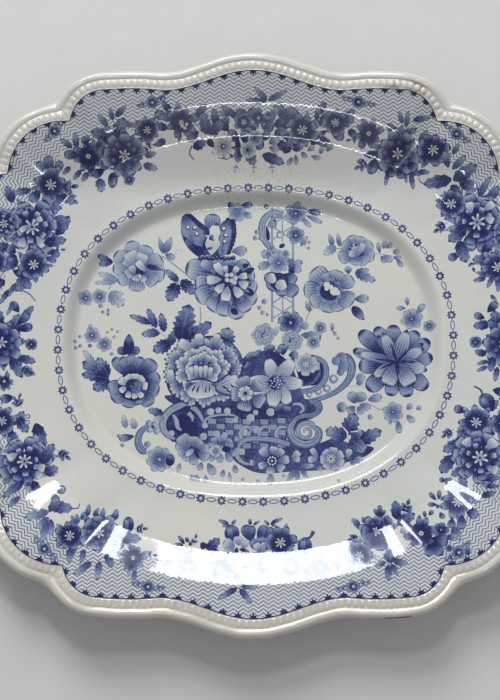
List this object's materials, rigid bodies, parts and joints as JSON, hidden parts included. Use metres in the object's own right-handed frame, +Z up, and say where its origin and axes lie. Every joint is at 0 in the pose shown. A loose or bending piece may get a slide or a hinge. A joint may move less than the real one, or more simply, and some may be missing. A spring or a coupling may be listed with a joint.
{
  "type": "serving platter",
  "caption": "Oblong lobed china serving platter with an oval well, a broad rim with a printed flower border, a beaded lip and a low oval foot.",
  "frame": {"origin": "middle of the plane that the foot ring stands on", "axes": "+X along the platter's length, +Z up out of the well"},
  "size_m": [0.3666, 0.3318, 0.0338],
  "materials": {
    "printed_glaze": "gloss",
    "ground_foot": "matte",
    "plain_glaze": "gloss"
  },
  "bodies": {
    "root": {"platter_body": "printed_glaze", "foot_ring": "ground_foot", "beaded_lip": "plain_glaze"}
  },
  "joints": []
}
